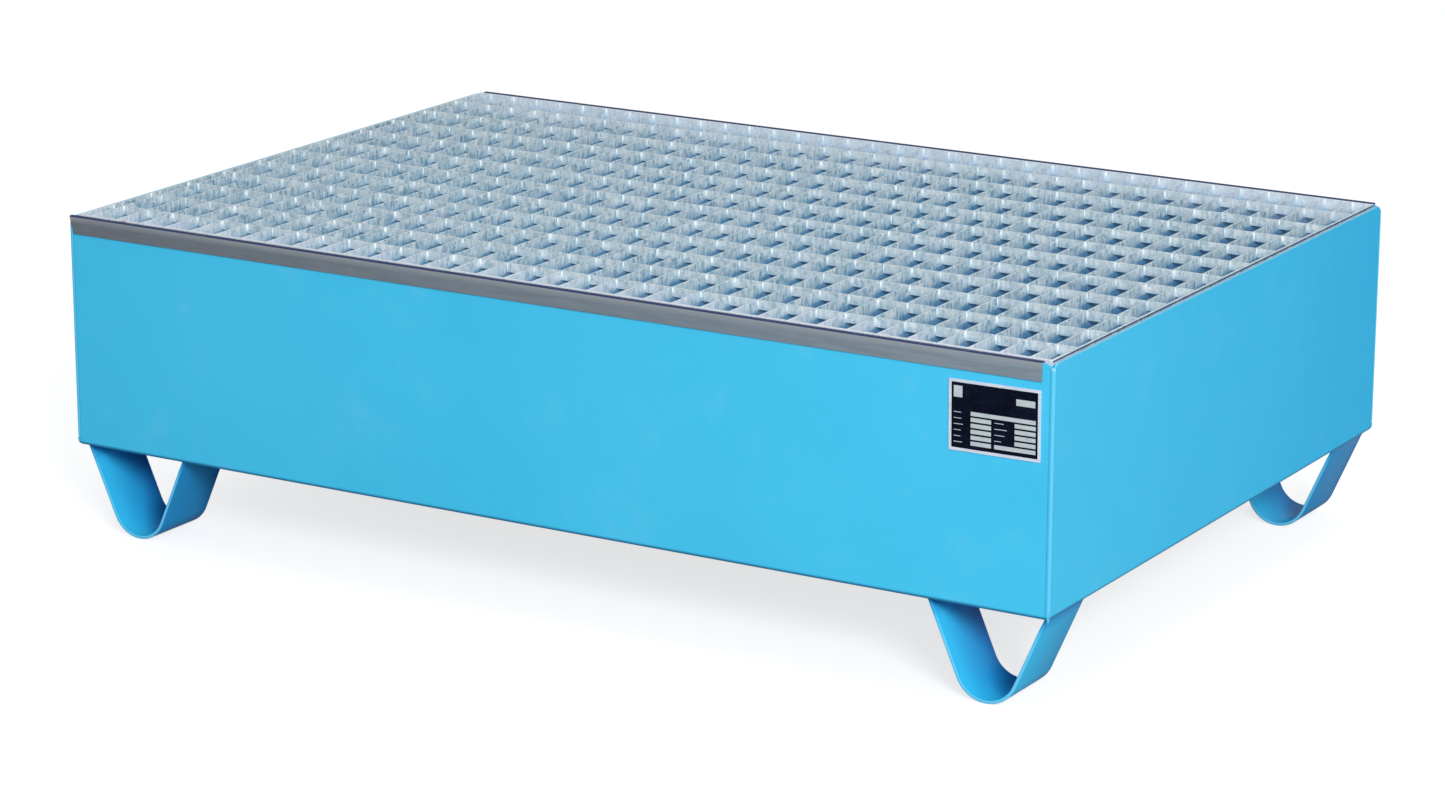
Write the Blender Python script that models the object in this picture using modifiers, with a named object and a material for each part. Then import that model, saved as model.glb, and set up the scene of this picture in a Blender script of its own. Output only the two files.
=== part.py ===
"""Steel spill containment pallet: a folded sump tray on four bent feet, with a lift-out pressed grating.

Metres, +Z up. The origin is on the floor, under the middle of the footprint. X runs along the long side
and the front, with the rating plate on it, faces -Y.
"""

import math

import bmesh
import bpy
from mathutils import Matrix, Vector

# ---- driving dimensions -------------------------------------------------------------------------------
LENGTH = 1.200            # over the corner welds, along X
DEPTH = 0.800             # over the corner welds, along Y
HEIGHT = 0.360            # floor to the top of the grating
FOOT_HEIGHT = 0.100       # floor to the underside of the tray
GAP = 0.0003              # left between pieces that touch

# Sump tray
SHEET = 0.003             # wall and floor thickness
WELD_PROUD = 0.0005       # how far the corner welds stand out of the sheet
BEND_RADIUS = 0.0055      # outside radius of the fold between floor and wall
RIM_ROUND = 0.006         # rounding at both ends of each wall's top edge
WELD_NOTCH = 0.0024       # square notch along each upright corner, filled by the weld
NOTCH_START = 0.009       # height of the notch's foot above the underside
CUTTER_REACH = 0.002      # how far a cutter stands past the material it takes away

# Edge rails, channels pushed over the rims of the front and rear walls
RAIL_SHEET = 0.0015
RAIL_LENGTH = 1.183
RAIL_FACE = 0.020         # height of the leg on the outside
RAIL_LEG = 0.018          # height of the leg on the inside
RAIL_BEND = RAIL_SHEET + GAP

# Ledge frame, an angle section welded round the inside of the walls, which carries the grating
LEDGE_WIDTH = 0.030       # from the wall to the ledge's free edge
LEDGE_LEG = 0.030         # depth of the leg along the wall
LEDGE_THICK = 0.003

# Grating
GRATING_LENGTH = 1.187
GRATING_DEPTH = 0.783
BAR_HEIGHT = 0.030        # bearing bars and border
BAR_THICK = 0.002
BORDER_THICK = 0.003
BAR_PITCH = 0.0337
BAR_COUNT = 35
FIRST_BAR = 0.0162        # from the grating's left edge to the middle of the first bearing bar
CROSS_HEIGHT = 0.010
CROSS_THICK = 0.002
CROSS_PITCH = 0.2 / 3
CROSS_COUNT = 11

# Feet: a flat bar bent to a V with a round bottom
FOOT_WIDTH = 0.080
FOOT_THICK = 0.0035
FOOT_BEND = 0.036         # outside radius of the bottom
FOOT_LEAN = math.radians(23.5)
FOOT_ARC_STEPS = 13       # odd, so that the lowest facet lies flat on the floor
FOOT_X = 0.5265           # from the middle of the pallet to the middle of a foot
FOOT_INSET = 0.010        # from the tray's front or rear face to the edge of a foot

# Rating plate
PLATE_SIZE = (0.100, 0.072)
PLATE_THICK = 0.0010
PLATE_BORDER = 0.0030
PLATE_RECESS = 0.0004
PLATE_FROM_RIGHT = 0.0130
PLATE_BELOW_RIM = 0.0275
PLATE_TILT = math.radians(-0.6)   # it was stuck on slightly askew

# Facets of the rounded stretches, and the distance under which two points of a sheet are one
RIM_STEPS = 4
BEND_STEPS = 4
WELD_STEPS = 6
RAIL_BEND_STEPS = 3
SAME_POINT = 0.00001

# ---- worked out from the above ------------------------------------------------------------------------
SHELL_X = LENGTH / 2 - WELD_PROUD
SHELL_Y = DEPTH / 2 - WELD_PROUD
RIM_Z = HEIGHT - RAIL_SHEET - GAP
LEDGE_Z = HEIGHT - BAR_HEIGHT - GAP

COLORS = {
    "blue_paint": ((0.055, 0.42, 0.75), 0.38, 0.0),
    "galvanised": ((0.62, 0.68, 0.72), 0.42, 0.9),
    "bare_steel": ((0.36, 0.37, 0.38), 0.34, 1.0),
    "plate_face": ((0.02, 0.025, 0.06), 0.35, 0.0),
}


def clear_scene():
    for item in list(bpy.data.objects):
        bpy.data.objects.remove(item, do_unlink=True)


def new_collection(name):
    collection = bpy.data.collections.new(name)
    bpy.context.scene.collection.children.link(collection)
    return collection


def make_material(name):
    color, roughness, metallic = COLORS[name]
    material = bpy.data.materials.new(name)
    material.use_nodes = True
    shader = material.node_tree.nodes["Principled BSDF"]
    shader.inputs["Base Color"].default_value = (*color, 1.0)
    shader.inputs["Roughness"].default_value = roughness
    shader.inputs["Metallic"].default_value = metallic
    return material


def place(name, data, collection, material, location=(0, 0, 0), rotation=(0, 0, 0)):
    item = bpy.data.objects.new(name, data)
    item.location = location
    item.rotation_euler = rotation
    if material is not None and not data.materials:
        data.materials.append(material)
    collection.objects.link(item)
    return item


def finished_mesh(name, bm):
    mesh = bpy.data.meshes.new(name)
    bm.to_mesh(mesh)
    bm.free()
    return mesh


def thicken(item, thickness):
    """Gives an open surface its thickness, on the side away from its normals."""
    sheet = item.modifiers.new("sheet", "SOLIDIFY")
    sheet.thickness = thickness
    sheet.offset = -1
    sheet.use_even_offset = True


def ring(bm, x, y, z):
    """The four corners of a rectangle about the Z axis, counterclockwise from above."""
    return [bm.verts.new((sx * x, sy * y, z)) for sx, sy in ((-1, -1), (1, -1), (1, 1), (-1, 1))]


def bridge(bm, first, second):
    """Joins two rings with faces that face outwards or up."""
    for i in range(len(first)):
        j = (i + 1) % len(first)
        bm.faces.new((first[i], first[j], second[j], second[i]))


def box_mesh(name, low, high):
    """A box between two corners, as a mesh."""
    low, high = Vector(low), Vector(high)
    size = high - low
    bm = bmesh.new()
    bmesh.ops.create_cube(bm, size=1.0)
    bmesh.ops.transform(bm, matrix=Matrix.Diagonal((*size, 1.0)), verts=bm.verts)
    bmesh.ops.translate(bm, vec=(low + high) / 2, verts=bm.verts)
    return finished_mesh(name, bm)


def outline_curve(name, outline, thickness):
    """A flat closed outline in the curve's XY plane, given thickness along its Z."""
    curve = bpy.data.curves.new(name, "CURVE")
    curve.dimensions = "2D"
    curve.fill_mode = "BOTH"
    curve.extrude = thickness / 2
    spline = curve.splines.new("POLY")
    spline.points.add(len(outline) - 1)
    for point, (x, y) in zip(spline.points, outline):
        point.co = (x, y, 0, 1)
    spline.use_cyclic_u = True
    return curve


def arc(center, radius, start, end, steps):
    """Points on a circle from one angle to another, both ends included."""
    angles = [start + (end - start) * i / steps for i in range(steps + 1)]
    return [(center[0] + radius * math.cos(a), center[1] + radius * math.sin(a)) for a in angles]


def add_cut(item, cutter):
    cutter.display_type = "WIRE"
    cutter.hide_render = True
    cut = item.modifiers.new("cut", "BOOLEAN")
    cut.operation = "DIFFERENCE"
    cut.solver = "EXACT"
    cut.object = cutter


def make_tray(collection, cutters, material):
    """One folded sheet: floor and four walls, open at the top, with rounded ends on each wall's rim."""
    half_x, half_y = SHELL_X, SHELL_Y
    low, rim = FOOT_HEIGHT, RIM_Z

    def wall_outline(half):
        inner = half - SHEET
        right = arc((inner - RIM_ROUND, rim - RIM_ROUND), RIM_ROUND, 0, math.pi / 2, RIM_STEPS)
        left = [(-x, z) for x, z in reversed(right)]
        corner = rim - RIM_ROUND
        return [(-half, low), (half, low), (half, corner), *right, *left, (-half, corner)]

    bm = bmesh.new()
    # Seen from outside, each wall runs left to right along its own direction.
    for half, direction, outward in (
        (half_x, Vector((1, 0, 0)), Vector((0, -half_y, 0))),
        (half_x, Vector((-1, 0, 0)), Vector((0, half_y, 0))),
        (half_y, Vector((0, 1, 0)), Vector((half_x, 0, 0))),
        (half_y, Vector((0, -1, 0)), Vector((-half_x, 0, 0))),
    ):
        points = [direction * x + outward + Vector((0, 0, z)) for x, z in wall_outline(half)]
        bm.faces.new([bm.verts.new(point) for point in points])
    bmesh.ops.remove_doubles(bm, verts=bm.verts, dist=SAME_POINT)
    floor_edges = [e for e in bm.edges if all(abs(v.co.z - low) < SAME_POINT for v in e.verts)]
    bmesh.ops.contextual_create(bm, geom=floor_edges)
    bmesh.ops.bevel(
        bm, geom=floor_edges, offset=BEND_RADIUS, segments=BEND_STEPS, profile=0.5, affect="EDGES"
    )
    bmesh.ops.recalc_face_normals(bm, faces=bm.faces)
    tray = place("sump_tray", finished_mesh("sump_tray", bm), collection, material)
    thicken(tray, SHEET)
    for sx in (-1, 1):
        for sy in (-1, 1):
            near = (sx * (half_x - WELD_NOTCH), sy * (half_y - WELD_NOTCH), low + NOTCH_START)
            far = (sx * (half_x + CUTTER_REACH), sy * (half_y + CUTTER_REACH), rim + CUTTER_REACH)
            low_corner = [min(a, b) for a, b in zip(near, far)]
            high_corner = [max(a, b) for a, b in zip(near, far)]
            notch = box_mesh("weld_notch_cutter", low_corner, high_corner)
            add_cut(tray, place("weld_notch_cutter", notch, cutters, None))


def make_corner_welds(collection, material):
    """A weld bead along each upright corner, a quarter round standing slightly out of both walls."""
    radius = WELD_NOTCH - GAP + WELD_PROUD
    bottom = FOOT_HEIGHT + NOTCH_START + GAP
    top = RIM_Z - RIM_ROUND - GAP
    quarter = [(0, 0), *arc((0, 0), radius, 0, math.pi / 2, WELD_STEPS)]
    section = outline_curve("corner_weld", quarter, top - bottom)
    x, y = LENGTH / 2 - radius, DEPTH / 2 - radius
    for name, px, py, turn in (
        ("corner_weld_rear_right", x, y, 0),
        ("corner_weld_rear_left", -x, y, math.pi / 2),
        ("corner_weld_front_left", -x, -y, math.pi),
        ("corner_weld_front_right", x, -y, 1.5 * math.pi),
    ):
        place(name, section, collection, material, (px, py, (top + bottom) / 2), (0, 0, turn))


def foot_outline():
    """The V in the XZ plane, symmetric about x = 0, from the floor to just under the tray."""
    half_step = (math.pi - 2 * FOOT_LEAN) / FOOT_ARC_STEPS / 2
    center = (0, FOOT_BEND * math.cos(half_step))
    top = FOOT_HEIGHT - GAP
    start = math.pi + FOOT_LEAN
    end = 2 * math.pi - FOOT_LEAN

    def side(radius):
        bend = arc(center, radius, start, end, FOOT_ARC_STEPS)
        x, z = bend[-1]
        x_top = x + (top - z) * math.tan(FOOT_LEAN)
        return [(-x_top, top), *bend, (x_top, top)]

    outside = side(FOOT_BEND)
    inside = side(FOOT_BEND - FOOT_THICK)
    return outside + inside[::-1]


def make_feet(collection, material):
    bar = outline_curve("foot", foot_outline(), FOOT_WIDTH)
    y = SHELL_Y - FOOT_INSET - FOOT_WIDTH / 2
    for side, sx in (("left", -1), ("right", 1)):
        for end, sy in (("front", -1), ("rear", 1)):
            location = (sx * FOOT_X, sy * y, 0)
            place(f"foot_{end}_{side}", bar, collection, material, location, (math.pi / 2, 0, 0))


def make_edge_rail(name, collection, material, left_end, turn):
    """A channel over a wall's rim: outer leg, top and inner leg."""
    face_y = -SHELL_Y - GAP - RAIL_SHEET
    inner_y = -SHELL_Y + SHEET + GAP + RAIL_SHEET
    profile = [
        (face_y, HEIGHT - RAIL_FACE),
        (face_y, HEIGHT),
        (inner_y, HEIGHT),
        (inner_y, HEIGHT - RAIL_LEG),
    ]
    bm = bmesh.new()
    rows = [[bm.verts.new((x, y, z)) for y, z in profile] for x in (left_end, left_end + RAIL_LENGTH)]
    folds = []
    for i in range(len(profile) - 1):
        bm.faces.new((rows[0][i], rows[1][i], rows[1][i + 1], rows[0][i + 1]))
        if i:
            folds.append(bm.edges.get((rows[0][i], rows[1][i])))
    bmesh.ops.bevel(bm, geom=folds, offset=RAIL_BEND, segments=RAIL_BEND_STEPS, profile=0.5, affect="EDGES")
    rail = place(name, finished_mesh(name, bm), collection, material, rotation=(0, 0, turn))
    thicken(rail, RAIL_SHEET)


def make_ledge_frame(collection, material):
    """An angle section round the inside of the walls: a leg down each wall and a ledge along its top."""
    x, y = SHELL_X - SHEET - GAP, SHELL_Y - SHEET - GAP
    bm = bmesh.new()
    low = ring(bm, x, y, LEDGE_Z - LEDGE_LEG)
    high = ring(bm, x, y, LEDGE_Z)
    inner = ring(bm, x - LEDGE_WIDTH, y - LEDGE_WIDTH, LEDGE_Z)
    bridge(bm, low, high)
    bridge(bm, high, inner)
    frame = place("grating_ledge_frame", finished_mesh("grating_ledge_frame", bm), collection, material)
    thicken(frame, LEDGE_THICK)


def make_rating_plate(collection, cutters, material):
    """A thin plate on the front, with a raised border round a shallow field."""
    width, height = PLATE_SIZE
    half_x, half_z = width / 2, height / 2
    location = (SHELL_X - PLATE_FROM_RIGHT - half_x, -SHELL_Y - GAP, RIM_Z - PLATE_BELOW_RIM - half_z)
    turn = (0, PLATE_TILT, 0)
    body = box_mesh("rating_plate", (-half_x, -PLATE_THICK, -half_z), (half_x, 0, half_z))
    plate = place("rating_plate", body, collection, material, location, turn)
    field_x, field_z = half_x - PLATE_BORDER, half_z - PLATE_BORDER
    field = box_mesh(
        "plate_field_cutter",
        (-field_x, -PLATE_THICK - CUTTER_REACH, -field_z),
        (field_x, -PLATE_THICK + PLATE_RECESS, field_z),
    )
    add_cut(plate, place("plate_field_cutter", field, cutters, None, location, turn))


def make_border_frame(collection, material):
    """Four border bars welded to one rectangle round the grating."""
    x, y = GRATING_LENGTH / 2, GRATING_DEPTH / 2
    bm = bmesh.new()
    bridge(bm, ring(bm, x, y, HEIGHT - BAR_HEIGHT), ring(bm, x, y, HEIGHT))
    frame = place("grating_border_frame", finished_mesh("grating_border_frame", bm), collection, material)
    thicken(frame, BORDER_THICK)


def cross_bar_positions():
    return [(i - (CROSS_COUNT - 1) / 2) * CROSS_PITCH for i in range(CROSS_COUNT)]


def make_bearing_bars(collection, material):
    """Upright flat bars from front to back, slotted from the top for the cross bars."""
    half_length = GRATING_DEPTH / 2 - BORDER_THICK - GAP
    half_slot = CROSS_THICK / 2 + GAP
    slot_floor = HEIGHT - CROSS_HEIGHT - GAP
    outline = [(-half_length, HEIGHT - BAR_HEIGHT), (half_length, HEIGHT - BAR_HEIGHT), (half_length, HEIGHT)]
    for y in reversed(cross_bar_positions()):
        outline += [(y + half_slot, HEIGHT), (y + half_slot, slot_floor)]
        outline += [(y - half_slot, slot_floor), (y - half_slot, HEIGHT)]
    outline.append((-half_length, HEIGHT))
    bar = outline_curve("grating_bearing_bar", outline, BAR_THICK)
    for i in range(BAR_COUNT):
        x = -GRATING_LENGTH / 2 + FIRST_BAR + i * BAR_PITCH
        turn = (math.pi / 2, 0, math.pi / 2)
        place(f"grating_bearing_bar_{i + 1:02d}", bar, collection, material, (x, 0, 0), turn)


def make_cross_bars(collection, material):
    """Shallow flat bars from side to side, pressed into the slots flush with the top."""
    half = GRATING_LENGTH / 2 - BORDER_THICK - GAP
    low = (-half, -CROSS_THICK / 2, HEIGHT - CROSS_HEIGHT)
    bar = box_mesh("grating_cross_bar", low, (half, CROSS_THICK / 2, HEIGHT))
    for i, y in enumerate(cross_bar_positions()):
        place(f"grating_cross_bar_{i + 1:02d}", bar, collection, material, (0, y, 0))


def main():
    clear_scene()
    parts = new_collection("spill_containment_pallet")
    cutters = new_collection("cutters")
    blue = make_material("blue_paint")
    galvanised = make_material("galvanised")
    bare = make_material("bare_steel")
    make_tray(parts, cutters, blue)
    make_corner_welds(parts, blue)
    make_feet(parts, blue)
    # The front rail lies against the left wall; the rear one lies in the middle.
    make_edge_rail("front_edge_rail", parts, bare, -SHELL_X + SHEET + GAP, 0)
    make_edge_rail("rear_edge_rail", parts, bare, -RAIL_LENGTH / 2, math.pi)
    make_ledge_frame(parts, blue)
    make_rating_plate(parts, cutters, make_material("plate_face"))
    make_border_frame(parts, galvanised)
    make_bearing_bars(parts, galvanised)
    make_cross_bars(parts, galvanised)


main()
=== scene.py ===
"""Looks of the spill containment pallet: painted tray on bent feet, zinc grating, metal rails, plate."""

import math
import random

import bmesh
import bpy
from mathutils import Matrix, Vector


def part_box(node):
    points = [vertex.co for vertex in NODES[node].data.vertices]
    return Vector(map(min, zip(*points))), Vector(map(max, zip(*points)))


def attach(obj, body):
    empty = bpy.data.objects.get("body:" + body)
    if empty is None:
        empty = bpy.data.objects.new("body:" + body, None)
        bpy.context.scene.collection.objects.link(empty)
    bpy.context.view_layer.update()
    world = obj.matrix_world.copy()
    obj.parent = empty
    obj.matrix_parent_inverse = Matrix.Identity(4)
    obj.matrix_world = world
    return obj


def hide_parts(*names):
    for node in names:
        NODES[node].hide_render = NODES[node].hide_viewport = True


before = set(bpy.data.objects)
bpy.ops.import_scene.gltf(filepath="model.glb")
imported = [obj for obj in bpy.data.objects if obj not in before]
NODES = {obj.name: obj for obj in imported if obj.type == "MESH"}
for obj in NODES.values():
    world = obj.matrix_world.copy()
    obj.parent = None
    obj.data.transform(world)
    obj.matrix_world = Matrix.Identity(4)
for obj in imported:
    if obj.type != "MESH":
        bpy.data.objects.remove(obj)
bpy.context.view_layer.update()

RNG = random.Random(7)

# ---- camera -------------------------------------------------------------------------------------------
CAMERA_PLACE = Vector((2.405, -4.030, 1.442))
CAMERA_AZIMUTH = math.radians(30.925)
CAMERA_ELEVATION = math.radians(15.447)
CAMERA_ROLL = math.radians(0.12)
LENS_MM = 109.3
SENSOR_MM = 36.0

# ---- light and floor ----------------------------------------------------------------------------------
WORLD_STRENGTH = 0.42
LIGHT_TARGET = (0, 0, 0.2)
KEY_PLACE = (4.6, -4.7, 3.2)
KEY_SIZE = (2.2, 1.8)
KEY_WATTS = 370
TOP_PLACE = (0.0, 0.5, 4.0)
TOP_SIZE = (3.2, 2.6)
TOP_WATTS = 30
FLOOR_RADIUS = 40.0
FLOOR_GLOW = 0.74          # emission that only camera rays see

# ---- places worked out from the frame -----------------------------------------------------------------
TRAY_LOW, TRAY_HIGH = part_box("sump_tray")
PLATE_LOW, PLATE_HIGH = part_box("rating_plate")
GRATING_LOW, GRATING_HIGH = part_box("grating_border_frame")
LEDGE_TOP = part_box("grating_ledge_frame")[1].z
BEARING_BARS = sorted(n for n in NODES if n.startswith("grating_bearing_bar"))
CROSS_BARS = sorted(n for n in NODES if n.startswith("grating_cross_bar"))
FEET = sorted(n for n in NODES if n.startswith("foot_"))
CORNER_WELDS = sorted(n for n in NODES if n.startswith("corner_weld"))
RAILS = ["front_edge_rail", "rear_edge_rail"]
FLOOR_BEND = 0.0055        # outside radius of the fold between the tray's floor and walls
SHEET = 0.003              # the tray's sheet

# ---- feet ---------------------------------------------------------------------------------------------
FOOT_THICK = 0.0035
FOOT_BEND = 0.036          # outside radius of the bottom
FOOT_LEAN = math.radians(23.5)
FOOT_EDGE = 0.0009         # rounding of the rolled bar's edges
FOOT_WELD = 0.0026         # leg of the fillet weld round each arm's top
FOOT_WELD_STEP = 0.0011    # one ring of the weld to the next
FOOT_WELD_SECTION = (      # out from the arm and down from the tray, in legs
    (-0.10, 0.0), (1.0, 0.0), (0.80, 0.18), (0.52, 0.50), (0.20, 0.82), (-0.10, 1.05),
)

# ---- stitch welds of the ledge frame ------------------------------------------------------------------
STITCH_LENGTH = 0.028
STITCH_LEG = 0.0019
STITCH_STEP = 0.0012
STITCH_COUNTS = (7, 5)     # along each long wall and each short wall
STITCH_MARGIN = 0.12       # a wall's length beyond the middles of its outer stitches, both ends together
STITCH_SECTION = (         # out from the wall and up from the ledge, in legs
    (-0.2, -0.2), (1.0, -0.2), (0.95, 0.12), (0.62, 0.55), (0.12, 0.95), (-0.2, 1.0),
)

# ---- corner welds -------------------------------------------------------------------------------------
BEAD_RADIUS = 0.0026
BEAD_WING = 0.0022         # how far the bead spreads over each wall beyond its round
BEAD_RIPPLE = 0.00022
BEAD_PITCH = 0.0022        # one ripple to the next
BEAD_STEP = 0.00045
BEAD_TOP = 0.3545
BEAD_END = 0.1040          # where the beads run out in the floor's fold
BEAD_TIP = 0.0978          # the front right bead's last drop hangs a little below the tray

# ---- edge rails ---------------------------------------------------------------------------------------
RAIL_SHEET = 0.0015
RAIL_BEND = 0.0018
RAIL_LEG = 0.018           # height of the inner leg
RAIL_SLANT = 0.0055        # the front rail's left end is cut at a slant

# ---- grating ------------------------------------------------------------------------------------------
BAR_HALF = 0.001           # half of a bar's thickness
BORDER_THICK = 0.003
CROSS_HEIGHT = 0.010
ZINC_LEG = 0.0018          # leg of a zinc fillet where two bars meet
EMBED = 0.0004             # how far a fillet reaches into the pieces that it joins
SHADE_REACH = 0.022        # how far the shade under a cross bar reaches along the bearing bars, both ways
DRIP_COUNT = 110           # tries; those over the ledge at the ends are left out
DRIP_CLEARANCE = 0.045     # kept free along the border, where the grating lies on the ledge
DRIP_HALF = 0.0009         # half of a drip's width across the bar
RED_MARKS = ((0.518, -0.340, 0.357), (-0.544, 0.338, 0.357), (-0.532, -0.393, 0.357))
RED_MARK_SIZE = 0.0055

# ---- rating plate -------------------------------------------------------------------------------------
PLATE_SIZE = (0.100, 0.072)
PLATE_TILT = math.radians(-0.6)
PLATE_BORDER = 0.0030
PLATE_CORNER = 0.0014
PLATE_INNER_CORNER = 0.0006
PLATE_FRONT = 0.0010       # the border's front, out from the wall
PLATE_FLOOR = 0.00072      # the recess inside the border
PLATE_EASE = 0.00012       # chamfer of the border's outer edge, and the panel's drop behind its front
PANEL_GAP = 0.0003         # both sides together, between the border and the panel
FIELD_BACK = 0.0002        # the fields' and bars' depth, in from the border's front
FIELD_ROW = 0.058          # a field's height, as a share of the plate's
FIELD_STEP = 0.0831        # one field to the next below it
FIELD_TOP = 0.512          # top of the first row, down from the plate's top


# ---- materials ----------------------------------------------------------------------------------------
class Graph:
    """A material's nodes, with short calls to add a node and to feed its inputs."""

    def __init__(self, name):
        self.material = bpy.data.materials.new(name)
        self.material.use_nodes = True
        self.tree = self.material.node_tree
        self.shader = self.tree.nodes["Principled BSDF"]
        coordinates = self.node("ShaderNodeTexCoord")
        self.place = coordinates.outputs["Object"]
        self.normal = coordinates.outputs["Normal"]

    def feed(self, socket, value):
        if isinstance(value, bpy.types.NodeSocket):
            self.tree.links.new(value, socket)
        else:
            socket.default_value = value

    def node(self, kind, settings=None, **inputs):
        made = self.tree.nodes.new(kind)
        for name, value in (settings or {}).items():
            setattr(made, name, value)
        for name, value in inputs.items():
            self.feed(made.inputs[name.replace("_", " ")], value)
        return made

    def stretched(self, scale):
        """The object's coordinates, scaled by axis."""
        mapping = self.node("ShaderNodeMapping")
        self.feed(mapping.inputs["Vector"], self.place)
        mapping.inputs["Scale"].default_value = scale
        return mapping.outputs["Vector"]

    def noise(self, scale, detail=3.0, roughness=0.5, vector=None, distortion=0.0):
        made = self.node("ShaderNodeTexNoise", Scale=scale, Detail=detail, Roughness=roughness,
                         Distortion=distortion)
        self.feed(made.inputs["Vector"], self.place if vector is None else vector)
        return made.outputs["Fac"]

    def cells(self, scale, output="Distance", vector=None):
        made = self.node("ShaderNodeTexVoronoi", Scale=scale)
        self.feed(made.inputs["Vector"], self.place if vector is None else vector)
        return made.outputs[output]

    def span(self, value, low, high, to_low=0.0, to_high=1.0):
        """Maps a value from one range to another, clamped."""
        made = self.node("ShaderNodeMapRange")
        self.feed(made.inputs["Value"], value)
        for name, number in (("From Min", low), ("From Max", high), ("To Min", to_low), ("To Max", to_high)):
            self.feed(made.inputs[name], number)
        return made.outputs["Result"]

    def math(self, operation, first, second=0.0):
        made = self.node("ShaderNodeMath", {"operation": operation})
        self.feed(made.inputs[0], first)
        self.feed(made.inputs[1], second)
        return made.outputs["Value"]

    def mix(self, factor, first, second):
        made = self.node("ShaderNodeMix", {"data_type": "RGBA"})
        self.feed(made.inputs["Factor"], factor)
        self.feed(made.inputs[6], first)
        self.feed(made.inputs[7], second)
        return made.outputs[2]

    def split(self, vector):
        """The X, Y and Z outputs of a vector."""
        made = self.node("ShaderNodeSeparateXYZ")
        self.feed(made.inputs["Vector"], vector)
        return made.outputs["X"], made.outputs["Y"], made.outputs["Z"]

    def near(self, value, center, inner, outer):
        """1 within inner of center, falling to 0 at outer."""
        away = self.math("ABSOLUTE", self.math("SUBTRACT", value, center))
        return self.span(away, inner, outer, 1.0, 0.0)

    def spot(self, center, radius):
        """1 around a point, with a soft ragged edge."""
        made = self.node("ShaderNodeVectorMath", {"operation": "DISTANCE"})
        self.feed(made.inputs[0], self.place)
        made.inputs[1].default_value = center
        fray = self.span(self.noise(700.0), 0.3, 0.7, -0.4 * radius, 0.4 * radius)
        ragged = self.math("ADD", made.outputs["Value"], fray)
        return self.span(ragged, 0.5 * radius, radius, 1.0, 0.0)

    def bumps(self, *layers):
        """Stacks bump layers of (height, strength, distance in metres) on the shader's normal."""
        normal = None
        for height, strength, distance in layers:
            made = self.node("ShaderNodeBump", Strength=strength, Distance=distance)
            self.feed(made.inputs["Height"], height)
            if normal is not None:
                self.feed(made.inputs["Normal"], normal)
            normal = made.outputs["Normal"]
        self.feed(self.shader.inputs["Normal"], normal)

    def finish(self, color, roughness, metallic=0.0, **inputs):
        self.feed(self.shader.inputs["Base Color"], color)
        self.feed(self.shader.inputs["Roughness"], roughness)
        self.feed(self.shader.inputs["Metallic"], metallic)
        for name, value in inputs.items():
            self.feed(self.shader.inputs[name.replace("_", " ")], value)
        return self.material


def rgb(red, green, blue):
    """An sRGB colour in 0 to 255 as a linear RGBA tuple."""
    def linear(value):
        value /= 255
        return value / 12.92 if value <= 0.04045 else ((value + 0.055) / 1.055) ** 2.4
    return (linear(red), linear(green), linear(blue), 1.0)


def powder_coat(g):
    """Colour and roughness of the light blue coat: faint clouds, speckle, a little dust."""
    cloud = g.noise(3.5, detail=4.0, roughness=0.55)
    color = g.mix(g.span(cloud, 0.3, 0.7), rgb(67, 196, 240), rgb(73, 202, 246))
    speckle = g.span(g.noise(260.0, detail=2.0), 0.62, 0.74, 0.0, 0.16)
    color = g.mix(speckle, color, rgb(112, 212, 246))
    dust = g.span(g.noise(14.0, detail=6.0, roughness=0.7), 0.56, 0.8, 0.0, 0.10)
    color = g.mix(dust, color, rgb(176, 212, 226))
    roughness = g.span(g.noise(25.0, detail=4.0), 0.3, 0.7, 0.30, 0.40)
    return color, roughness


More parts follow.
